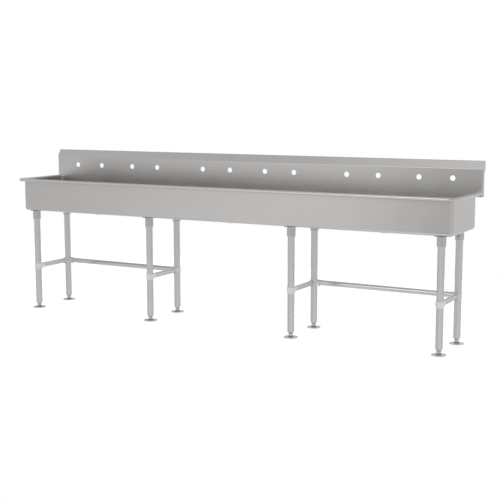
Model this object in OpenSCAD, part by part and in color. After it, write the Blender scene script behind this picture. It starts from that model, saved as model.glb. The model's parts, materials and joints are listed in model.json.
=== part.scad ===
// Wall-side stainless trough sink for several people, on eight tube legs.
// Millimetres, +Z up, +X to the right as a user faces it, +Y to the wall.
// The origin is on the floor, under the middle of the sink's outline.

/* [Trough] */
// Overall length over both end rims
trough_len = 3048; // [2780:1:3600]
// Inside width of the bowl, front to back
bowl_w = 406.4; // [340:0.1:520]
// Inside depth of the bowl below the rim
bowl_depth = 211; // [120:1:280]
// Height of the rim above the floor, feet screwed in
rim_h = 875; // [700:1:950]
// Thickness of the sheet metal
sheet_t = 1.5; // [1.2:0.1:2.5]
// Inside radius of the coved bends and corners
cove_r = 19.05; // [12:0.05:30]
// Width of the rim outside the bowl's inner face
rim_w = 38.1; // [32:0.1:60]
// Outside diameter of the rolled edge
roll_d = 17; // [12:0.5:22]
// Inside radius of the bend between wall and rim
lip_r = 8; // [1.5:0.5:9]
// Width of the hem turned in under the roll
hem_w = 5; // [2:0.5:8]

/* [Backsplash] */
// Height of the splash face above the rim
splash_h = 129; // [110:1:250]
// Depth below the rim that the splash and its ends reach
splash_skirt = 27; // [18:1:60]
// Height that the sloped return rises
return_rise = 48; // [30:1:70]
// Depth that the sloped return runs back, over the rear flange
return_run = 36; // [26:1:60]
// Length of the flange turned down behind
return_drop = 60; // [20:1:70]
// Depth of the ends that are bent back
splash_end_depth = 21; // [14:1:24]
// Outside radius of the end bends
splash_bend_r = 8; // [4:0.5:12]
// Inside radius of the bends of the return
return_bend_r = 3; // [1.5:0.5:6]

/* [Faucet holes] */
// Distance between the centres of the three two-person modules
module_pitch = 1016; // [920:1:1016]
// Distance from a module's centre to each of its stations
station_offset = 228.6; // [180:0.1:240]
// Distance between the two holes of a station
hole_pitch = 203.2; // [101.6:0.1:204]
// Diameter of a faucet hole
hole_d = 31.75; // [22:0.05:36]
// Height of the holes above the rim
hole_h = 75; // [50:1:90]

/* [Legs] */
// Outside diameter of the leg tube
leg_d = 41.3; // [38:0.1:45]
// Wall of the leg tube
leg_wall = 1.5; // [1.2:0.1:3]
// Distance from the trough's end to the outer legs
leg_end_inset = 111; // [95:1:250]
// Distance between the two leg pairs of one frame
leg_pair_span = 912; // [500:1:1000]
// Distance from the bowl's front face to the front legs
leg_front_inset = 36; // [30:1:90]
// Distance from the splash face to the rear legs
leg_rear_inset = 54; // [30:1:90]
// Height of the leg tube's lower end above the floor
leg_end_h = 37; // [33:0.5:48]
// Width of the support plates under the bowl
plate_w = 68; // [56:1:120]
// Thickness of the support plates
plate_t = 3; // [2:0.5:6]
// Outside diameter of the leg sockets
socket_d = 51; // [48.5:0.5:54]
// Length of the leg sockets
socket_len = 60; // [40:1:90]
// Height of the cone at a socket's lower end
socket_cone_h = 7; // [3:0.5:14]
// Wall left at the tip of that cone
socket_lip = 0.9; // [0.6:0.1:1.4]

/* [Rails] */
// Height of the rails' centre line above the floor
rail_h = 284; // [150:1:450]
// Outside diameter of the rail tube
rail_d = 31.75; // [25.4:0.05:33]
// Wall of the rail tube
rail_wall = 1.5; // [1.2:0.1:3]
// Outside diameter of a fitting's sleeve around the leg
sleeve_d = 47.5; // [46.5:0.5:52]
// Height of a fitting's sleeve
sleeve_h = 38; // [36:1:60]
// Outside diameter of a fitting's arm around the rail
arm_d = 36; // [35:0.5:38]
// Reach of an arm from the leg's centre line
arm_reach = 46; // [42:1:70]

/* [Feet] */
// Length of the insert's plug inside the leg tube
plug_len = 46; // [40:1:60]
// Height of the insert's lower, narrow end above the floor
collar_end_h = 20.5; // [19:0.5:24]
// Diameter of the insert's narrow end
collar_end_d = 26; // [25:0.5:32]
// Diameter of the foot screw
screw_d = 15.8; // [12:0.1:16]
// Length of the foot screw above its hexagon
screw_len = 54; // [50:1:60]
// Height of the chamfer at the foot screw's upper end
screw_chamfer = 1; // [0.5:0.5:2]
// Width across the flats of the hexagon
hex_af = 22; // [20:0.5:24]
// Diameter of the pin under the hexagon
pin_d = 12; // [8:0.5:14]
// Height of the flange's hub above the floor
hub_h = 11; // [8:0.5:12]
// Diameter of the flange's hub
hub_d = 31; // [26:0.5:36]
// Diameter of the round flange
flange_d = 85; // [80:0.5:110]
// Thickness of the round flange
flange_t = 3.5; // [3:0.5:6]
// Diameter of the two floor bolt holes
floor_hole_d = 9.5; // [6:0.1:12]
// Distance between the floor bolt holes
floor_hole_pitch = 62; // [55:1:66]

/* [Drains] */
// Diameter of the drain hole in the floor
drain_hole_d = 90; // [84:0.1:110]
// Width of the drain's flange outside its hole
drain_flange_w = 12; // [8:0.5:16]
// Height of the drain's flange above the floor of the bowl
drain_flange_t = 2; // [1.5:0.1:3]
// Wall of the drain's cup
drain_wall = 2; // [1.5:0.1:4]
// Depth of the drain's cup below the floor of the bowl
drain_cup_depth = 13; // [11:0.5:20]
// Outside diameter of the outlet thread
outlet_d = 48.3; // [33:0.1:60]
// Wall of the outlet
outlet_wall = 3; // [2:0.1:5]
// Length of the outlet thread below the cup
outlet_len = 12.5; // [8:0.5:40]
// Thickness of the gasket under the floor
gasket_t = 3; // [2:0.5:4]
// Thickness of the locknut
locknut_t = 5; // [4:0.5:7]
// Width of the gasket and locknut outside the cup
locknut_w = 9; // [6:0.5:14]
// Depth of the strainer's top below the flange's top
strainer_sink = 3; // [2:0.5:4]
// Thickness of the lift-out strainer
strainer_t = 2; // [1.5:0.1:3]
// Diameter of the strainer's holes
strainer_hole_d = 6; // [4:0.5:7]
// Diameter of the strainer's lift knob
knob_d = 14; // [12:0.5:18]
// Height of the strainer's lift knob
knob_h = 8; // [6:0.5:12]
// Difference between the knob's largest diameter and its top
knob_taper = 3; // [1:0.5:5]

/* [Fasteners] */
// Diameter of the set screws
set_screw_d = 8; // [6:0.5:10]
// Length of the set screws
set_screw_len = 6; // [5:0.5:10]

/* [Fits] */
// Radial gap between tubes and the sleeves around them
tube_gap = 0.15; // [0.05:0.05:0.3]
// Radial running gap of the foot screw and its pin
run_gap = 0.05; // [0.02:0.01:0.1]
// Radial gap of pieces that drop into a seat
drop_gap = 0.5; // [0.3:0.1:1]

/* [Hidden] */
$fn = 64;
LEGS = [1:4];
MODULES = [-1:1];
ROWS = ["front", "rear"];
DRAINS = ["left", "centre", "right"];
function numbered(name) = [for (i = LEGS) str(name, "_", i)];

STEEL = "#b8bbbd";
CAST = "#d4d6d7";
BLACK = "#303234";

// Outline, front to back
half_len = trough_len / 2;
depth = bowl_w + rim_w + return_run;
face_y = depth / 2 - return_run;
front_y = face_y - bowl_w;

// Bowl
floor_z = rim_h - bowl_depth;
under_z = floor_z - sheet_t;
weld_z = rim_h - splash_skirt;
corner_x = half_len - rim_w - cove_r;
front_axis_y = front_y + cove_r;
rear_axis_y = face_y - cove_r;
roll_r = roll_d / 2;
rim_end = cove_r + rim_w;
lip_u = cove_r + sheet_t + lip_r;
lip_z = rim_h - sheet_t - lip_r;
// How far cuts run past a face, and how far two pieces of one outline lap
past = 1;
lap = 0.01;

// Splash
bend_z = rim_h + splash_h;
top_z = bend_z + return_rise;
bend_out = return_bend_r + sheet_t;
// Centres of the return's two bends, behind the face and up, and the slope's lean from upright
slope_foot = [bend_out, bend_z];
slope_crest = [return_run - bend_out, top_z - bend_out];
slope = slope_crest - slope_foot;
lean = atan2(slope[0], slope[1]);

// Legs
outer_leg_x = half_len - leg_end_inset;
inner_leg_x = outer_leg_x - leg_pair_span;
leg_xs = [-outer_leg_x, -inner_leg_x, inner_leg_x, outer_leg_x];
leg_front_y = front_y + leg_front_inset;
leg_rear_y = face_y - leg_rear_inset;
plate_z = under_z - plate_t;
socket_z = plate_z - socket_len;
leg_in = leg_d / 2 - leg_wall;
leg_bore = leg_d / 2 + tube_gap;
rail_bore = rail_d / 2 + tube_gap;
// Inner end of a rail, on its stop in the fitting's arm, and the web left there
rail_web = 1;
rail_stop = sleeve_d / 2 + rail_web;
arm_screw_at = (rail_stop + arm_reach) / 2;
socket_screw_h = socket_len / 2;
// Direction from a row of legs to the middle of the sink
function inward(row) = row == "front" ? 90 : -90;
// Directions of the long rail at a leg pair, of a fitting's arms and of its sleeve's set screw
function along(i) = i % 2 == 1 ? 0 : 180;
function arms(row, i) = row == "front" ? [90] : [-90, along(i)];
function sleeve_screw(row) = row == "front" ? 180 : 90;

// Drains
drain_xs = [for (m = MODULES) m * module_pitch];
drain_y = (front_y + face_y) / 2;
cup_r = drain_hole_d / 2 - drop_gap;
cup_in = cup_r - drain_wall;
cup_z = floor_z - drain_cup_depth;
outlet_z = cup_z - outlet_len;
strainer_z = floor_z + drain_flange_t - strainer_sink;
strainer_r = cup_in - drop_gap;
nut_sides = 8;
ledge_w = 4;
ledge_h = 2;
ledge_z = strainer_z - strainer_t - ledge_h;
// Strainer holes: rings of 6, 12 and 18, the inner ring's radius and the step to the next ring
hole_rings = 3;
ring_holes = 6;
hole_ring_r = knob_d / 2 + strainer_hole_d;
hole_ring_step = (strainer_r - ledge_w - strainer_hole_d - hole_ring_r) / (hole_rings - 1);

// ---- 2D pieces of bent sheet --------------------------------------------

// Sheet bent round the origin, from angle a to angle b, up to 90 degrees on
module bend(inner, a, b) {
    reach = 4 * (inner + sheet_t);
    mid = (a + b) / 2;
    intersection() {
        difference() {
            circle(r = inner + sheet_t);
            circle(r = inner);
        }
        polygon([
            [0, 0],
            reach * [cos(a), sin(a)],
            reach * [cos(mid), sin(mid)] / cos((b - a) / 2),
            reach * [cos(b), sin(b)]
        ]);
    }
}

// Cove and wall, outwards along x from the axis of the bend
module wall_outline(top) {
    translate([0, floor_z + cove_r]) bend(cove_r, 270, 360);
    translate([cove_r, floor_z + cove_r]) square([sheet_t, top - floor_z - cove_r]);
}

// Lip bend and flat rim, out to the distance u_end
module flat_rim_outline(u_end) {
    translate([lip_u, lip_z]) bend(lip_r, 90, 180);
    translate([lip_u, rim_h - sheet_t]) square([u_end - lip_u, sheet_t]);
}

// Rolled edge with its hem
module roll_outline() {
    translate([rim_end - roll_r, rim_h - roll_r]) {
        bend(roll_r - sheet_t, 0, 90);
        bend(roll_r - sheet_t, -90, 0);
        translate([-hem_w, -roll_r]) square([hem_w, sheet_t]);
    }
}

module rim_outline() {
    flat_rim_outline(rim_end - roll_r);
    roll_outline();
}

module side_outline() {
    wall_outline(lip_z);
    rim_outline();
}

// ---- trough --------------------------------------------------------------

// Extrudes an outline along a straight wall that faces the angle a
module run(a, length) {
    rotate([0, 0, a]) rotate([90, 0, 0]) linear_extrude(height = length, center = true) children();
}

module trough_channel() {
    color(STEEL) difference() {
        union() {
            translate([0, front_axis_y, 0]) run(-90, 2 * corner_x) side_outline();
            translate([0, rear_axis_y, 0]) run(90, 2 * corner_x) wall_outline(weld_z);
            translate([-corner_x, front_axis_y, under_z])
                cube([2 * corner_x, rear_axis_y - front_axis_y, sheet_t]);
        }
        for (x = drain_xs)
            translate([x, drain_y, under_z - past]) cylinder(h = sheet_t + 2 * past, d = drain_hole_d);
    }
}

// Rear corner: cove below the weld line, cove and flat rim in front of the splash above it
module rear_corner() {
    far = cove_r + sheet_t;
    intersection() {
        rotate_extrude(angle = 90) wall_outline(weld_z);
        translate([0, 0, under_z]) cube([far, far, weld_z - under_z]);
    }
    intersection() {
        rotate_extrude(angle = 90) {
            translate([cove_r, weld_z]) square([sheet_t, lip_z - weld_z]);
            flat_rim_outline(2 * rim_end);
        }
        translate([0, 0, weld_z]) cube([rim_end - roll_r, cove_r, splash_skirt]);
    }
    translate([0, cove_r / 2, 0]) run(0, cove_r) roll_outline();
}

module end_cap(side) {
    straight = rear_axis_y - front_axis_y;
    color(STEEL) mirror([side < 0 ? 1 : 0, 0, 0]) translate([corner_x, 0, 0]) {
        translate([0, front_axis_y, 0]) rotate([0, 0, -90]) rotate_extrude(angle = 90) side_outline();
        translate([0, front_axis_y + straight / 2, 0]) run(0, straight) side_outline();
        translate([0, rear_axis_y, 0]) rear_corner();
    }
}

// ---- backsplash ----------------------------------------------------------

// Side view of the splash sheet: x is the distance behind the face
module splash_outline() {
    translate([0, weld_z]) square([sheet_t, bend_z - weld_z + lap]);
    translate(slope_foot) {
        bend(return_bend_r, 180 - lean, 180);
        rotate(-lean) translate([-bend_out, -lap]) square([sheet_t, norm(slope) + 2 * lap]);
    }
    translate(slope_crest) {
        bend(return_bend_r, 90, 180 - lean);
        bend(return_bend_r, 0, 90);
    }
    translate([return_run - sheet_t, top_z - return_drop])
        square([sheet_t, return_drop - bend_out + lap]);
}

// Turns a side view, x behind the face and y up, into a solid along X
module along_x(length) {
    translate([0, face_y, 0]) rotate([90, 0, 90]) linear_extrude(height = length, center = true) children();
}

module faucet_holes() {
    for (m = MODULES) for (s = [-1, 1]) for (h = [-0.5, 0.5])
        translate([m * module_pitch + s * station_offset + h * hole_pitch, face_y - past, rim_h + hole_h])
            rotate([-90, 0, 0]) cylinder(h = sheet_t + 2 * past, d = hole_d);
}

module backsplash() {
    color(STEEL) difference() {
        along_x(trough_len) splash_outline();
        faucet_holes();
        for (side = [0, 1]) mirror([side, 0, 0])
            translate([half_len - splash_bend_r, face_y - past, weld_z - past])
                cube([splash_bend_r + past, sheet_t + 2 * past, bend_z - weld_z + past]);
    }
}

// Side view of a splash end, below the underside of the return
module splash_end_outline() {
    edge = return_bend_r * [-cos(lean), sin(lean)];
    polygon([
        [-past, weld_z],
        [-past, bend_z],
        [sheet_t, bend_z],
        slope_foot + edge,
        slope_crest + edge,
        [return_run - sheet_t, slope_crest[1]],
        [return_run - sheet_t, top_z - return_drop],
        [splash_end_depth, top_z - return_drop],
        [splash_end_depth, weld_z]
    ]);
}

// One end of the splash: bent back at the face and closed up to the return
module splash_end(side) {
    inner = splash_bend_r - sheet_t;
    color(STEEL) mirror([side < 0 ? 1 : 0, 0, 0]) intersection() {
        translate([half_len - splash_bend_r, face_y + splash_bend_r, weld_z])
            linear_extrude(height = top_z - weld_z) {
                bend(inner, 270, 360);
                translate([inner, 0]) square([sheet_t, return_run - splash_bend_r]);
            }
        translate([half_len, 0, 0]) along_x(2 * splash_bend_r + past) splash_end_outline();
    }
}

// ---- legs ----------------------------------------------------------------

module tube(r, wall, length) {
    difference() {
        cylinder(h = length, r = r);
        translate([0, 0, -past]) cylinder(h = length + 2 * past, r = r - wall);
    }
}

// Places a child at the axis of one leg
module at_leg(row, i, z) {
    translate([leg_xs[i - 1], row == "front" ? leg_front_y : leg_rear_y, z]) children();
}

module leg_plate(i) {
    color(STEEL) translate([leg_xs[i - 1] - plate_w / 2, leg_front_y - socket_d / 2, plate_z])
        cube([plate_w, leg_rear_y - leg_front_y + socket_d, plate_t]);
}

module leg(row, i) {
    color(STEEL) at_leg(row, i, leg_end_h) tube(leg_d / 2, leg_wall, plate_z - leg_end_h);
}

module leg_sockets(row) {
    color(STEEL) for (i = LEGS) at_leg(row, i, socket_z) difference() {
        union() {
            cylinder(h = socket_cone_h, r1 = leg_bore + socket_lip, r2 = socket_d / 2);
            translate([0, 0, socket_cone_h]) cylinder(h = socket_len - socket_cone_h, d = socket_d);
        }
        translate([0, 0, -past]) cylinder(h = socket_len + 2 * past, r = leg_bore);
        translate([0, 0, socket_screw_h]) rotate([0, 0, inward(row)]) screw_hole(socket_d / 2);
    }
}

module socket_set_screws() {
    color(BLACK) for (row = ROWS) for (i = LEGS)
        at_leg(row, i, socket_z + socket_screw_h) rotate([0, 0, inward(row)]) screw(leg_d / 2);
}

// ---- set screws, pointing out along +X of their place -----------------------

// Hole through a wall that ends at the distance r
module screw_hole(r) {
    rotate([0, 90, 0]) cylinder(h = r + past, d = set_screw_d + 2 * run_gap);
}

// Set screw that bears on a tube of the radius r
module screw(r) {
    translate([r + run_gap, 0, 0]) rotate([0, 90, 0]) difference() {
        cylinder(h = set_screw_len, d = set_screw_d);
        translate([0, 0, set_screw_len / 2]) cylinder(h = set_screw_len, d = set_screw_d / 2, $fn = 6);
    }
}

// ---- rails and their fittings ------------------------------------------------

// A fitting's sleeve on the leg, with an arm for each rail that meets it
module rail_fitting(row, i) {
    color(CAST) at_leg(row, i, rail_h) difference() {
        union() {
            translate([0, 0, -sleeve_h / 2]) cylinder(h = sleeve_h, d = sleeve_d);
            for (a = arms(row, i)) rotate([0, 0, a]) rotate([0, 90, 0]) cylinder(h = arm_reach, d = arm_d);
        }
        translate([0, 0, -sleeve_h]) cylinder(h = 2 * sleeve_h, r = leg_bore);
        for (a = arms(row, i)) rotate([0, 0, a]) {
            translate([rail_stop, 0, 0]) rotate([0, 90, 0]) cylinder(h = arm_reach, r = rail_bore);
            translate([arm_screw_at, 0, 0]) rotate([0, 90, 0]) screw_hole(arm_d / 2);
        }
        rotate([0, 0, sleeve_screw(row)]) screw_hole(sleeve_d / 2);
    }
}

module fitting_set_screws() {
    color(BLACK) for (row = ROWS) for (i = LEGS) at_leg(row, i, rail_h) {
        rotate([0, 0, sleeve_screw(row)]) screw(leg_d / 2);
        for (a = arms(row, i))
            rotate([0, 0, a]) translate([arm_screw_at, 0, 0]) rotate([0, 90, 0]) screw(rail_d / 2);
    }
}

// Rail from stop to stop between two legs that stand the distance span apart
module rail(span) {
    translate([rail_stop, 0, 0]) rotate([0, 90, 0]) tube(rail_d / 2, rail_wall, span - 2 * rail_stop);
}

module side_rail(i) {
    color(STEEL) at_leg("front", i, rail_h) rotate([0, 0, 90]) rail(leg_rear_y - leg_front_y);
}

module rear_rail(first) {
    color(STEEL) at_leg("rear", first, rail_h) rail(leg_pair_span);
}

// ---- feet ----------------------------------------------------------------

module foot_inserts() {
    collar_h = leg_end_h - collar_end_h;
    color(STEEL) for (row = ROWS) for (i = LEGS) at_leg(row, i, collar_end_h) difference() {
        union() {
            cylinder(h = collar_h, d1 = collar_end_d, d2 = leg_d);
            translate([0, 0, collar_h - lap]) cylinder(h = plug_len + lap, r = leg_in - tube_gap);
        }
        translate([0, 0, -past]) cylinder(h = collar_h + plug_len + 2 * past, d = screw_d + 2 * run_gap);
    }
}

// Screw, hexagon and the pin that turns in the flange's hub
module foot_screw(row, i) {
    color(STEEL) at_leg(row, i, 0) {
        translate([0, 0, hub_h]) cylinder(h = collar_end_h - hub_h, d = hex_af / cos(30), $fn = 6);
        translate([0, 0, collar_end_h]) cylinder(h = screw_len - screw_chamfer, d = screw_d);
        translate([0, 0, collar_end_h + screw_len - screw_chamfer])
            cylinder(h = screw_chamfer, d1 = screw_d, d2 = screw_d - 2 * screw_chamfer);
        translate([0, 0, flange_t]) cylinder(h = hub_h - flange_t, d = pin_d);
    }
}

// Round flange with its hub and two floor bolt holes
module foot_flange(row, i) {
    color(STEEL) at_leg(row, i, 0) difference() {
        union() {
            cylinder(h = flange_t, d = flange_d);
            cylinder(h = hub_h, d = hub_d);
        }
        translate([0, 0, flange_t - run_gap]) cylinder(h = hub_h, d = pin_d + 2 * run_gap);
        for (s = [-1, 1])
            translate([s * floor_hole_pitch / 2, 0, -past])
                cylinder(h = flange_t + 2 * past, d = floor_hole_d);
    }
}

// ---- drains --------------------------------------------------------------

module ring(r_in, r_out, z, h) {
    translate([0, 0, z]) difference() {
        cylinder(h = h, r = r_out);
        translate([0, 0, -past]) cylinder(h = h + 2 * past, r = r_in);
    }
}

// Cup, flange, ledge and outlet, turned as one piece
module drain_bodies() {
    color(STEEL) for (x = drain_xs) translate([x, drain_y, 0]) {
        ring(cup_r - lap, drain_hole_d / 2 + drain_flange_w, floor_z, drain_flange_t);
        ring(cup_in, cup_r, cup_z, drain_cup_depth + drain_flange_t);
        ring(outlet_d / 2 - outlet_wall, cup_in + lap, cup_z, drain_wall);
        ring(cup_in - ledge_w, cup_in + lap, ledge_z, ledge_h);
        ring(outlet_d / 2 - outlet_wall, outlet_d / 2, outlet_z, outlet_len + lap);
    }
}

module drain_gaskets() {
    color(BLACK) for (x = drain_xs) translate([x, drain_y, 0])
        ring(cup_r + tube_gap, cup_r + locknut_w, under_z - gasket_t, gasket_t);
}

module drain_locknuts() {
    color(CAST) for (x = drain_xs) translate([x, drain_y, under_z - gasket_t - locknut_t]) difference() {
        cylinder(h = locknut_t, r = (cup_r + locknut_w) / cos(180 / nut_sides), $fn = nut_sides);
        translate([0, 0, -past]) cylinder(h = locknut_t + 2 * past, r = cup_r + tube_gap);
    }
}

// Lift-out strainer with a knob in the middle
module drain_strainer(k) {
    color(STEEL) translate([drain_xs[k], drain_y, strainer_z]) {
        difference() {
            translate([0, 0, -strainer_t]) cylinder(h = strainer_t, r = strainer_r);
            for (n = [1:hole_rings]) for (j = [1:n * ring_holes])
                rotate([0, 0, j * 360 / (n * ring_holes)])
                    translate([hole_ring_r + (n - 1) * hole_ring_step, 0, -strainer_t - past])
                        cylinder(h = strainer_t + 2 * past, d = strainer_hole_d);
        }
        cylinder(h = knob_h / 2, d = knob_d / 2);
        translate([0, 0, knob_h / 2 - lap])
            cylinder(h = knob_h / 2 + lap, d1 = knob_d, d2 = knob_d - knob_taper);
    }
}

trough_channel();
end_cap(-1);  // end_cap_left
end_cap(1);  // end_cap_right
backsplash();
splash_end(-1);  // splash_end_left
splash_end(1);  // splash_end_right
leg_sockets("front");  // leg_sockets_front
leg_sockets("rear");  // leg_sockets_rear
socket_set_screws();
fitting_set_screws();
rear_rail(1);  // rear_rail_left
rear_rail(3);  // rear_rail_right
foot_inserts();
drain_bodies();
drain_gaskets();
drain_locknuts();
for (i = LEGS) {
    leg_plate(i);
    leg("front", i);
    leg("rear", i);
    rail_fitting("front", i);
    rail_fitting("rear", i);
    side_rail(i);
    foot_screw("front", i);
    foot_screw("rear", i);
    foot_flange("front", i);
    foot_flange("rear", i);
}
for (k = [0:2])
    drain_strainer(k);
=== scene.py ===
"""Looks of the stainless trough sink: camera, plain studio, and the finish of every surface.

Everything is in metres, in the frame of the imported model: +X to the right as a user faces the sink,
+Y towards the wall, +Z up, with the origin on the floor under the middle of the outline.
"""

import json
import math

import bpy
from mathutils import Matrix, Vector


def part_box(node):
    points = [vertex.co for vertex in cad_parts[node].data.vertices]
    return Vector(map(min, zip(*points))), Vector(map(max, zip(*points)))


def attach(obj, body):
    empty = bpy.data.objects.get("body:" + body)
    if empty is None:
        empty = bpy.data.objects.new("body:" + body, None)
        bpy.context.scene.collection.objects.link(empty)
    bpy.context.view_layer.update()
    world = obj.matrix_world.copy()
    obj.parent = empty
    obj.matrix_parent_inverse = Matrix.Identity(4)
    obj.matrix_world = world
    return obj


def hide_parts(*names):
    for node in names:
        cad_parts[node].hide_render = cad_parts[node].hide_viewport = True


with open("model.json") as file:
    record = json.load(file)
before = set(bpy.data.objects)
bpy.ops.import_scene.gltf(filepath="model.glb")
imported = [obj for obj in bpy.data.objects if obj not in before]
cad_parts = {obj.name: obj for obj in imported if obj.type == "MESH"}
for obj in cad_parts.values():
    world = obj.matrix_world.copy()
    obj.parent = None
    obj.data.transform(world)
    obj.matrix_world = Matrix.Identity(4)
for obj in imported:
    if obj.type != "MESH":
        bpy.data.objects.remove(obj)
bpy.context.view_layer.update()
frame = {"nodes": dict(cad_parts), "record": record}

# ---- camera ----------------------------------------------------------------

CAMERA_PLACE = (3.2059, -5.5514, 1.3827)
CAMERA_YAW = 28.960
CAMERA_PITCH = -8.126
CAMERA_ROLL = 0.018
CAMERA_LENS = 74.74
SENSOR = 36.0


def add_object(name, data):
    made = bpy.data.objects.new(name, data)
    bpy.context.scene.collection.objects.link(made)
    return made


def make_camera():
    data = bpy.data.cameras.new("camera")
    data.lens = CAMERA_LENS
    data.sensor_width = SENSOR
    camera = add_object("camera", data)
    camera.location = CAMERA_PLACE
    camera.rotation_euler = [math.radians(a) for a in (90 + CAMERA_PITCH, CAMERA_ROLL, CAMERA_YAW)]
    bpy.context.scene.camera = camera


# ---- node helpers -----------------------------------------------------------

def node(tree, kind, **inputs):
    """A shader node with some of its inputs set to a value or linked to an output."""
    made = tree.nodes.new("ShaderNode" + kind)
    for name, value in inputs.items():
        feed(tree, made, name.replace("_", " "), value)
    return made


def feed(tree, target, socket, value):
    if isinstance(value, bpy.types.NodeSocket):
        tree.links.new(value, target.inputs[socket])
    else:
        target.inputs[socket].default_value = value


def calc(tree, operation, *values):
    """The output of a Math node."""
    made = tree.nodes.new("ShaderNodeMath")
    made.operation = operation
    for socket, value in enumerate(values):
        feed(tree, made, socket, value)
    return made.outputs["Value"]


def share(tree, value, start, end):
    """The smooth share, from 0 to 1, that value has gone from start to end."""
    made = node(tree, "MapRange", Value=value, From_Min=start, From_Max=end)
    made.interpolation_type = "SMOOTHSTEP"
    return made.outputs["Result"]


# ---- studio ----------------------------------------------------------------

FLOOR_REACH = (3.6, 2.4)
# Just under the feet when they are wound right out, so that they stay in sight
FLOOR_Z = -0.026
FLOOR_COLOUR = (0.9, 0.9, 0.9, 1)
FLOOR_ROUGHNESS = 0.9
FLOOR_GLOW = 0.55
WHITE = (1.0, 1.0, 1.0, 1)

# The soft room that the steel mirrors. Angles are in degrees: heights above the horizon, and bearings
# from straight in front of the sink, positive towards its left end.
ROOM_FLOOR, ROOM_WALLS, ROOM_CEILING = 0.84, 0.70, 0.53
FLOOR_FADE, CEILING_FADE = (-45.5, 0), (45.6, 50.3)
# The wall behind the sink: how much brighter, the bearings and the heights over which it begins
BACK_GAIN, BACK_BEARINGS, BACK_HEIGHTS = 0.09, (90, 150), (-10, 5)
# Soft boxes and dark flags: bearing, height, the spread in bearing and in height, and the gain
ROOM_LIGHTS = (
    (21.4, 4.3, 10.4, 9.8, 0.68),
    (17.1, -14.3, 4.0, 16.4, -0.60),
    (0.0, -6.9, 14.3, 10.6, 0.26),
    (-0.3, 3.4, 33.0, 8.3, -0.56),
    (22.8, 59.4, 18.1, 9.6, 0.44),
    (23.0, 32.0, 6.0, 8.0, 1.70),
    (-54.6, -1.5, 38.2, 10.5, -0.44),
    (140.9, 29.5, 11.6, 18.4, -0.56),
    (-51.1, -5.9, 45.3, 14.8, 0.35),
    (33.3, -48.6, 4.9, 42.2, 0.27),
    (52.7, -35.7, 22.0, 10.9, -0.21),
    (16.7, 29.4, 8.5, 13.8, 0.50),
)


def make_world():
    """White to the camera; to everything else a soft room with lights and flags."""
    world = bpy.data.worlds.new("studio")
    bpy.context.scene.world = world
    world.use_nodes = True
    tree = world.node_tree
    tree.nodes.clear()
    place = node(tree, "SeparateXYZ", Vector=node(tree, "TexCoord").outputs["Generated"]).outputs
    front, left = [calc(tree, "MULTIPLY", place[axis], -1.0) for axis in "YX"]
    bearing = calc(tree, "DEGREES", calc(tree, "ARCTAN2", left, front))
    height = calc(tree, "DEGREES", calc(tree, "ARCSINE", place["Z"]))

    level = calc(tree, "MULTIPLY_ADD", share(tree, height, *FLOOR_FADE), ROOM_WALLS - ROOM_FLOOR, ROOM_FLOOR)
    level = calc(tree, "MULTIPLY_ADD", share(tree, height, *CEILING_FADE), ROOM_CEILING - ROOM_WALLS, level)
    behind = share(tree, calc(tree, "ABSOLUTE", bearing), *BACK_BEARINGS)
    behind = calc(tree, "MULTIPLY", behind, share(tree, height, *BACK_HEIGHTS))
    level = calc(tree, "MULTIPLY_ADD", behind, BACK_GAIN, level)
    for at_bearing, at_height, wide, tall, gain in ROOM_LIGHTS:
        off = calc(tree, "MULTIPLY_ADD", bearing, 1 / wide, -at_bearing / wide)
        off_squared = calc(tree, "MULTIPLY", off, off)
        off = calc(tree, "MULTIPLY_ADD", height, 1 / tall, -at_height / tall)
        off_squared = calc(tree, "MULTIPLY_ADD", off, off, off_squared)
        level = calc(tree, "MULTIPLY_ADD", calc(tree, "POWER", math.exp(-1), off_squared), gain, level)
    room = node(tree, "Background", Color=WHITE, Strength=calc(tree, "MAXIMUM", level, 0.0))
    seen = node(tree, "Background", Color=WHITE, Strength=1.0)
    pick = tree.nodes.new("ShaderNodeMixShader")
    tree.links.new(node(tree, "LightPath").outputs["Is Camera Ray"], pick.inputs["Fac"])
    tree.links.new(room.outputs["Background"], pick.inputs[1])
    tree.links.new(seen.outputs["Background"], pick.inputs[2])
    tree.links.new(pick.outputs["Shader"], node(tree, "OutputWorld").inputs["Surface"])


def make_floor():
    """A pale floor that glows a little. It is clear from below, so that it doesn't hide the underside."""
    mesh = bpy.data.meshes.new("floor")
    x, y = FLOOR_REACH
    corners = [(-x, -y, FLOOR_Z), (x, -y, FLOOR_Z), (x, y, FLOOR_Z), (-x, y, FLOOR_Z)]
    mesh.from_pydata(corners, [], [(0, 1, 2, 3)])
    floor = add_object("floor", mesh)
    material = bpy.data.materials.new("floor")
    material.use_nodes = True
    tree = material.node_tree
    shader = tree.nodes["Principled BSDF"]
    above = tree.nodes.new("ShaderNodeMixShader")
    tree.links.new(node(tree, "NewGeometry").outputs["Backfacing"], above.inputs["Fac"])
    tree.links.new(shader.outputs["BSDF"], above.inputs[1])
    tree.links.new(node(tree, "BsdfTransparent").outputs["BSDF"], above.inputs[2])
    tree.links.new(above.outputs["Shader"], tree.nodes["Material Output"].inputs["Surface"])
    shader.inputs["Base Color"].default_value = FLOOR_COLOUR
    shader.inputs["Roughness"].default_value = FLOOR_ROUGHNESS
    shader.inputs["Emission Color"].default_value = WHITE
    shader.inputs["Emission Strength"].default_value = FLOOR_GLOW
    mesh.materials.append(material)
    floor.visible_glossy = False


# ---- materials --------------------------------------------------------------

SHEET = (0.61, 0.597, 0.584)
TUBE = (0.64, 0.627, 0.613)
SOCKET = (0.57, 0.558, 0.546)
CAST = (0.86, 0.86, 0.85)
# The corner fittings are the same casting as the tees, made a tenth darker as painted shade
CORNER_CAST_PAINTED_SHADE = (0.775, 0.775, 0.766)
TURNED = (0.76, 0.75, 0.74)
ZINC = (0.80, 0.79, 0.78)
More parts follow.
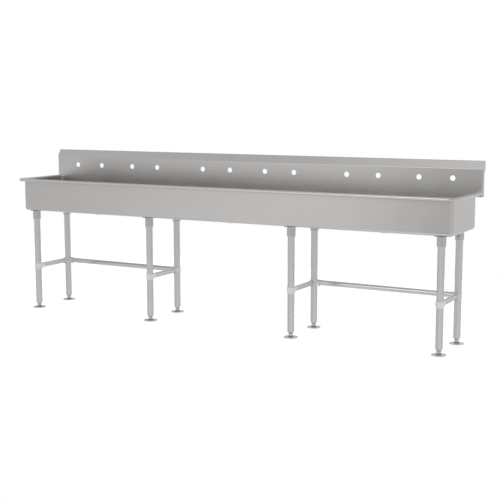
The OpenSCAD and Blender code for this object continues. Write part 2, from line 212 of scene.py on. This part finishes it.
# The colour of a painted dark reflection on the hubs of the foot flanges
HUB_PAINTED_REFLECTION = (0.34, 0.33, 0.32)
WELD = (0.44, 0.41, 0.38)
OXIDE = (0.03, 0.03, 0.032)
RUBBER = (0.022, 0.022, 0.022)

SHEET_WAVE = 0.0002
SEAM_HALF_WIDTH = 0.0025
# The polished roll, with its colour made lighter as a painted highlight: how far back from the front of the
# rim it reaches, and how softly it ends
ROLL_REACH, ROLL_FADE = 0.014, 0.002
# Painted dark reflection on the hub of a foot flange, put into its colour: the height where it begins, just
# over the disc, and how softly
HUB_REFLECTION_FROM, HUB_REFLECTION_FADE = 0.0036, 0.001
# How often tool rings come up along a turned surface, for each metre
RINGS = 2500.0


def noise(tree, place, scale, detail=3.0, offset=0.0):
    """Noise of about one swing in each 1/scale metres along X, Y and Z."""
    spot = node(tree, "Mapping", Vector=place, Scale=scale, Location=(offset, offset, offset))
    return node(tree, "TexNoise", Vector=spot.outputs["Vector"], Scale=1.0, Detail=detail).outputs["Fac"]


def shift(tree, value, middle, swing, base):
    """base, plus swing for each unit that value lies over middle."""
    return calc(tree, "MULTIPLY_ADD", value, swing, base - middle * swing)


def start_material(name, metallic):
    material = bpy.data.materials.new(name)
    material.use_nodes = True
    tree = material.node_tree
    shader = tree.nodes["Principled BSDF"]
    shader.inputs["Metallic"].default_value = metallic
    return material, tree, shader, node(tree, "TexCoord").outputs["Object"]


def fade_colour(tree, shader, value, start, end):
    """The surface goes from the colour or link start to the one of end, as value goes from 0 to 1."""
    mix = tree.nodes.new("ShaderNodeMix")
    mix.data_type = "RGBA"
    for socket, given in (("Factor", value), ("A", start), ("B", end)):
        feed(tree, mix, socket, given)
    tree.links.new(mix.outputs["Result"], shader.inputs["Base Color"])


def tint(tree, shader, colour, value, depth):
    """Colours the surface from a little darker than colour to a little lighter, as value goes from 0 to 1."""
    dark = (*[c * (1 - depth) for c in colour], 1)
    light = (*[min(1.0, c * (1 + depth)) for c in colour], 1)
    fade_colour(tree, shader, value, dark, light)


def darken(tree, shader, colour, value):
    """Takes the surface from the colour it has to another one, as value goes from 0 to 1."""
    now = shader.inputs["Base Color"].links[0].from_socket
    fade_colour(tree, shader, value, now, (*colour, 1))


def relief(tree, shader, *layers):
    """Bumps from layers of (height from 0 to 1, depth in metres), the broad ones first."""
    normal = None
    for height, depth in layers:
        bump = node(tree, "Bump", Height=height, Strength=1.0, Distance=depth)
        if normal:
            tree.links.new(normal, bump.inputs["Normal"])
        normal = bump.outputs["Normal"]
    tree.links.new(normal, shader.inputs["Normal"])


def seam_mask(tree, place, axis, at, half_width):
    """1 along a ground weld seam at the distance at from the middle along an axis, 0 elsewhere."""
    along = calc(tree, "ABSOLUTE", node(tree, "SeparateXYZ", Vector=place).outputs[axis])
    off = calc(tree, "ABSOLUTE", calc(tree, "SUBTRACT", along, at))
    return share(tree, off, half_width, half_width / 2)


def across(tree, lines):
    """The direction in the surface that is square to its lines."""
    cross = tree.nodes.new("ShaderNodeVectorMath")
    cross.operation = "CROSS_PRODUCT"
    tree.links.new(node(tree, "NewGeometry").outputs["Normal"], cross.inputs[0])
    feed(tree, cross, 1, lines)
    return cross.outputs["Vector"]


def brushed(name, colour, roughness, lines, stretch, wave=0.0, seam=None, grain=1.0, roll=None):
    """Brushed steel with its fine lines along a direction, which blurs what it mirrors across them.

    It has faint clouds from handling and a slight waviness, of the height wave in metres. It may have a
    ground seam, and a roll further out to the front than the y of roll, which is polished and made lighter in
    colour as a painted highlight.
    """
    material, tree, shader, place = start_material(name, 1.0)
    along = [abs(c) for c in lines]
    fine = noise(tree, place, [12 if c > 0.5 else 1600 for c in along], 4.0)
    broad = noise(tree, place, [1.5 if c > 0.5 else 90 for c in along], 2.0, 3.0)
    clouds = noise(tree, place, (4, 4, 4), 3.0, 7.0)
    rough = shift(tree, fine, 0.5, 0.16 * grain, roughness)
    rough = calc(tree, "ADD", rough, shift(tree, broad, 0.5, 0.03, 0.0))
    rough = calc(tree, "ADD", rough, shift(tree, clouds, 0.5, 0.06, 0.0))
    tone = calc(tree, "MULTIPLY_ADD", broad, 0.4, calc(tree, "ADD", fine, clouds))
    tone = shift(tree, tone, 1.2, 0.8 * grain, 0.5)
    if seam:
        mask = seam_mask(tree, place, *seam)
        rough = calc(tree, "MULTIPLY_ADD", mask, 0.10, rough)
        tone = calc(tree, "MULTIPLY_ADD", mask, -1.0, tone)
    # Past roll the roughness drops as polish, and the colour is made lighter as a painted highlight
    if roll:
        out = share(tree, node(tree, "SeparateXYZ", Vector=place).outputs["Y"], roll, roll - ROLL_FADE)
        rough = calc(tree, "MULTIPLY_ADD", out, -0.11, rough)
        tone = calc(tree, "MULTIPLY_ADD", out, 1.0, tone)
    feed(tree, shader, "Roughness", rough)
    tint(tree, shader, colour, tone, 0.05)
    layers = [(noise(tree, place, (5, 5, 5), 1.0, 11.0), wave)] if wave else []
    relief(tree, shader, *layers, (fine, 0.000012 * grain))
    tree.links.new(across(tree, lines), shader.inputs["Tangent"])
    shader.inputs["Anisotropic"].default_value = stretch
    return material


def cast(name, colour, roughness, grain, depth, painted_reflection_from=None):
    """Cast or plated metal: a fine skin of grains, with clouds. Above a height it may have a painted dark
    reflection in its colour.
    """
    material, tree, shader, place = start_material(name, 1.0)
    skin = noise(tree, place, (grain, grain, grain), 5.0)
    clouds = noise(tree, place, (25, 25, 25), 3.0, 5.0)
    rough = calc(tree, "MULTIPLY_ADD", skin, 0.12, shift(tree, clouds, 0.5, 0.10, roughness - 0.06))
    feed(tree, shader, "Roughness", rough)
    tint(tree, shader, colour, shift(tree, calc(tree, "ADD", skin, clouds), 1.0, 1.6, 0.5), 0.07)
    # Painted dark reflection: the colour goes dark above the given height
    if painted_reflection_from:
        height = node(tree, "SeparateXYZ", Vector=place).outputs["Z"]
        darken(tree, shader, HUB_PAINTED_REFLECTION, share(tree, height, painted_reflection_from, painted_reflection_from + HUB_REFLECTION_FADE))
    relief(tree, shader, (clouds, depth * 2), (skin, depth))
    return material


def turned(name, colour, roughness, centre=None, pitch=1.0):
    """Turned metal: fine tool rings up along Z, or round an upright axis that repeats each pitch along X.

    It blurs what it mirrors across the rings.
    """
    material, tree, shader, place = start_material(name, 1.0)
    spot = node(tree, "SeparateXYZ", Vector=place).outputs
    step = spot["Z"]
    blur = node(tree, "CombineXYZ", X=0.01, Y=0.02, Z=1.0).outputs["Vector"]
    if centre:
        x = calc(tree, "SUBTRACT", calc(tree, "WRAP", spot["X"], 1.5 * pitch, 0.5 * pitch), pitch)
        y = calc(tree, "SUBTRACT", spot["Y"], centre)
        radius = calc(tree, "SQRT", calc(tree, "MULTIPLY_ADD", x, x, calc(tree, "MULTIPLY", y, y)))
        step = calc(tree, "ADD", radius, step)
        round_way = node(tree, "CombineXYZ", X=calc(tree, "MULTIPLY", y, -1.0), Y=x, Z=0.0001)
        blur = across(tree, round_way.outputs["Vector"])
    rings = node(tree, "TexNoise", Scale=1.0, Detail=2.0)
    rings.noise_dimensions = "1D"
    feed(tree, rings, "W", calc(tree, "MULTIPLY", step, RINGS))
    rings = rings.outputs["Fac"]
    clouds = noise(tree, place, (30, 30, 30), 3.0, 2.0)
    rough = calc(tree, "MULTIPLY_ADD", rings, 0.12, shift(tree, clouds, 0.5, 0.08, roughness - 0.06))
    feed(tree, shader, "Roughness", rough)
    tint(tree, shader, colour, shift(tree, clouds, 0.5, 1.0, 0.5), 0.05)
    relief(tree, shader, (rings, 0.00002))
    tree.links.new(blur, shader.inputs["Tangent"])
    shader.inputs["Anisotropic"].default_value = 0.5
    return material


def matt(name, colour, roughness, grain, depth):
    """Black oxide or rubber: dull, with a fine grain and paler dust in its clouds."""
    material, tree, shader, place = start_material(name, 0.0)
    skin = noise(tree, place, (grain, grain, grain), 4.0)
    dust = noise(tree, place, (60, 60, 60), 3.0, 4.0)
    feed(tree, shader, "Roughness", calc(tree, "MULTIPLY_ADD", skin, 0.15, roughness - 0.07))
    tint(tree, shader, colour, shift(tree, dust, 0.5, 1.5, 0.5), 0.4)
    relief(tree, shader, (skin, depth))
    return material


# Ways of the brushed lines, a little off the axes so that no flat face is square to them
ALONG, DEEP, UP = (1, 0.004, 0.006), (0.006, 1, 0.004), (0.006, 0.004, 1)
# The lines of the end walls lean further
END_DEEP = (0.1, 1, 0.005)


def make_looks():
    """Each material by the name that the finish of a node or piece asks for."""
    seam_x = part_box("trough_channel")[1][0]
    drain_y = sum(corner[1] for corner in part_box("drain_strainer_centre")) / 2
    drain_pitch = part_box("drain_strainer_right")[0][0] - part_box("drain_strainer_centre")[0][0]
    seam = ("X", seam_x, SEAM_HALF_WIDTH)
    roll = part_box("trough_channel")[0][1] + ROLL_REACH
    return {
        "sheet_steel": brushed("sheet_steel", SHEET, 0.24, ALONG, 0.85, SHEET_WAVE, seam, 0.7, roll),
        "end_sheet": brushed("end_sheet", SHEET, 0.24, END_DEEP, 0.6, SHEET_WAVE, seam, 0.7),
        "splash_sheet": brushed("splash_sheet", SHEET, 0.24, ALONG, 0.85, SHEET_WAVE, None, 0.7),
        "tube_up": brushed("tube_up", TUBE, 0.22, UP, 0.75, grain=0.4),
        "tube_deep": brushed("tube_deep", TUBE, 0.22, DEEP, 0.75, grain=0.4),
        "tube_long": brushed("tube_long", TUBE, 0.22, ALONG, 0.75, grain=0.4),
        "socket_steel": turned("socket_steel", SOCKET, 0.30),
        "cast_fitting": cast("cast_fitting", CAST, 0.40, 600, 0.00010),
        # The corner fittings: the tees' casting with painted shade, a tenth darker
        "corner_fitting_painted_shade": cast("corner_fitting_painted_shade", CORNER_CAST_PAINTED_SHADE, 0.40, 600, 0.00010),
        # The hub of each foot flange has a painted dark reflection in its colour
        "foot_flange": cast("foot_flange", ZINC, 0.48, 1200, 0.00001, painted_reflection_from=HUB_REFLECTION_FROM),
        "foot_steel": turned("foot_steel", TURNED, 0.34),
        "drain_steel": turned("drain_steel", SHEET, 0.30, drain_y, drain_pitch),
        "weld": cast("weld", WELD, 0.32, 500, 0.00005),
        "black_screw": matt("black_screw", OXIDE, 0.42, 800, 0.00001),
        "gasket": matt("gasket", RUBBER, 0.75, 500, 0.00003),
    }


# Nodes whose look isn't their slot's own, by how their names begin
OWN_LOOKS = (
    ("end_cap", "end_sheet"),
    ("backsplash", "splash_sheet"),
    ("splash_end", "splash_sheet"),
    ("leg_plate", "splash_sheet"),
    ("leg_front", "tube_up"),
    ("leg_rear", "tube_up"),
    ("side_rail", "tube_deep"),
    ("rear_rail", "tube_long"),
    ("rail_corner", "corner_fitting_painted_shade"),
    ("foot_flange", "foot_flange"),
)


def finish_nodes(looks):
    """Gives every CAD node its material."""
    slots = {s["node"]: s["material_slot"] for s in frame["record"]["subparts"]}
    for name, part in frame["nodes"].items():
        look = next((own for start, own in OWN_LOOKS if name.startswith(start)), slots[name])
        part.data.materials.clear()
        part.data.materials.append(looks[look])


# ---- threaded foot screws ------------------------------------------------------

# The legs: their rows, and the numbers of their pairs from left to right
ROWS, PAIRS = ("front", "rear"), range(1, 5)
PIN_R = 0.006
THREAD_R = 0.0079
THREAD_PITCH = 0.00254
THREAD_DEPTH = 0.0013
# A turn of thread: how steep its flanks are, and how wide its crest is
FLANK_SLOPE, CREST = 2.6, 0.15
# The thread deepens over this height above the hexagon, and the tip is chamfered
LEAD_IN = 2 * THREAD_PITCH
TIP_CHAMFER = 0.001
SCREW_AROUND = 48
STEPS_A_TURN = 8
# The hexagon's chamfer: its share of the flats' radius at the ends, its slope, and its rings of points
CHAMFER_SHARE, CHAMFER_SLOPE = 0.97, 1.8
CHAMFER_RINGS = (0, 0.0004, 0.0008, 0.0012)
# Rings of points this close make a sharp step
STEP = 1e-5


def lathe(name, levels, radius, around):
    """A closed piece round the Z axis: radius(angle, z) gives its outline at each of the levels."""
    points, faces = [], []
    for z in levels:
        for k in range(around):
            angle = 2 * math.pi * k / around
            r = radius(angle, z)
            points.append((r * math.cos(angle), r * math.sin(angle), z))
    for row in range(len(levels) - 1):
        for k in range(around):
            a, b = row * around + k, row * around + (k + 1) % around
            faces.append((a, b, b + around, a + around))
    faces.append(tuple(reversed(range(around))))
    faces.append(tuple(range((len(levels) - 1) * around, len(levels) * around)))
    mesh = bpy.data.meshes.new(name)
    mesh.from_pydata(points, [], faces)
    return mesh


def upright_axis(name):
    """The x and y of the upright axis through the middle of a node."""
    low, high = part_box(name)
    return (low[0] + high[0]) / 2, (low[1] + high[1]) / 2


def foot_screw_mesh():
    """Pin, chamfered hexagon and real thread. It goes from the lower end of the screw to its upper one."""
    screw_low, screw_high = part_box("foot_screw_front_1")
    low, high = screw_low[2], screw_high[2]
    hex_low, hex_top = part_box("foot_flange_front_1")[1][2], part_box("foot_inserts")[0][2]
    corner_r = (screw_high[0] - screw_low[0]) / 2
    flat_r = corner_r * math.cos(math.pi / 6)

    def radius(angle, z):
        if z < hex_low:
            return PIN_R
        if z <= hex_top:
            flat = flat_r / math.cos(angle % (math.pi / 3) - math.pi / 6)
            edge = min(z - hex_low, hex_top - z)
            return min(flat, flat_r * CHAMFER_SHARE + edge * CHAMFER_SLOPE)
        turn = (z / THREAD_PITCH - angle / (2 * math.pi)) % 1
        flank = min(1.0, max(0.0, abs(turn - 0.5) * FLANK_SLOPE - CREST))
        lead = min(1.0, (z - hex_top) / LEAD_IN)
        end = max(0.0, TIP_CHAMFER - (high - z))
        return THREAD_R - THREAD_DEPTH * flank * lead - end

    levels = [low, hex_low - STEP]
    levels += [hex_low + ring for ring in CHAMFER_RINGS]
    levels += [hex_top - ring for ring in reversed(CHAMFER_RINGS)]
    z = hex_top + STEP
    rise = THREAD_PITCH / STEPS_A_TURN
    while z < high - rise:
        levels.append(z)
        z += rise
    levels.append(high)
    return lathe("foot_screw", levels, radius, SCREW_AROUND)


def make_foot_screws(look):
    mesh = foot_screw_mesh()
    mesh.materials.append(look)
    for row in ROWS:
        for k in PAIRS:
            name = "foot_screw_%s_%d" % (row, k)
            screw = add_object("threaded_" + name, mesh)
            screw.location = (*upright_axis(name), 0)
            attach(screw, "screw_%s_%d" % (row, k))
            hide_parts(name)


# ---- weld beads under the bowl ------------------------------------------------

BEAD_R = 0.0022
BEAD_SIDES = 8
# Steps of points along a bead. Every third one is a little thinner, and the ends are drawn in.
RIPPLE = 0.0016
RIPPLE_STEPS = 3
RIPPLE_SHARE = 0.86
END_SHARE, END_STEPS = 0.35, 3
# How far a socket's bead lies under its plate, and a stitch under the plate's upper side
SOCKET_BEAD_DROP, STITCH_DROP = 0.0005, 0.001
# The stitches on each side of a plate: their places as shares of its depth, and their points
STITCH_PLACES, STITCH_POINTS = (0.12, 0.5, 0.88), 25


def bead(points, faces, path, closed):
    """Adds a rippled weld bead along a path of (x, y, z) points."""
    first, count = len(points), len(path)
    for k, here in enumerate(path):
        before = path[k - 1] if k or closed else here
        after = path[(k + 1) % count] if k + 1 < count or closed else here
        ahead = (Vector(after) - Vector(before)).normalized()
        out = ahead.cross(Vector((0, 0, 1)))
        end = 1.0 if closed else min(1.0, END_SHARE + min(k, count - 1 - k) / END_STEPS)
        r = BEAD_R * end * (RIPPLE_SHARE + (1 - RIPPLE_SHARE) * (k % RIPPLE_STEPS != 0))
        for side in range(BEAD_SIDES):
            angle = 2 * math.pi * side / BEAD_SIDES
            rise = Vector((0, 0, r * math.sin(angle)))
            points.append(Vector(here) + out * r * math.cos(angle) + rise)
    for k in range(count if closed else count - 1):
        here, ahead = first + k * BEAD_SIDES, first + (k + 1) % count * BEAD_SIDES
        for side in range(BEAD_SIDES):
            beside = (side + 1) % BEAD_SIDES
            faces.append((here + side, here + beside, ahead + beside, ahead + side))
    if not closed:
        faces.append(tuple(first + side for side in reversed(range(BEAD_SIDES))))
        faces.append(tuple(first + (count - 1) * BEAD_SIDES + side for side in range(BEAD_SIDES)))


def make_welds(look):
    """A bead round each leg socket under its plate, and stitches along the sides of the plates."""
    rings, stitches = ([], []), ([], [])
    socket_low, socket_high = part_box("leg_sockets_front")
    r = (socket_high[1] - socket_low[1]) / 2
    count = int(2 * math.pi * r / RIPPLE) // RIPPLE_STEPS * RIPPLE_STEPS
    turns = [2 * math.pi * j / count for j in range(count)]
    steps = [(j - STITCH_POINTS // 2) * RIPPLE for j in range(STITCH_POINTS)]
    for k in PAIRS:
        low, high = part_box("leg_plate_%d" % k)
        for row in ROWS:
            x, y = upright_axis("leg_%s_%d" % (row, k))
            z = low[2] - SOCKET_BEAD_DROP
            bead(*rings, [(x + r * math.cos(a), y + r * math.sin(a), z) for a in turns], True)
        for side in (low[0], high[0]):
            for place in STITCH_PLACES:
                y = low[1] + place * (high[1] - low[1])
                z = high[2] - STITCH_DROP
                bead(*stitches, [(side, y + step, z) for step in steps], False)
    for name, (points, faces) in (("socket_welds", rings), ("plate_welds", stitches)):
        mesh = bpy.data.meshes.new(name)
        mesh.from_pydata(points, [], faces)
        mesh.materials.append(look)
        for face in mesh.polygons:
            face.use_smooth = True
        weld = add_object(name, mesh)
        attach(weld, "sink")


make_camera()
make_world()
make_floor()
LOOKS = make_looks()
finish_nodes(LOOKS)
make_foot_screws(LOOKS["foot_steel"])
make_welds(LOOKS["weld"])
bpy.context.scene.view_settings.view_transform = "Standard"
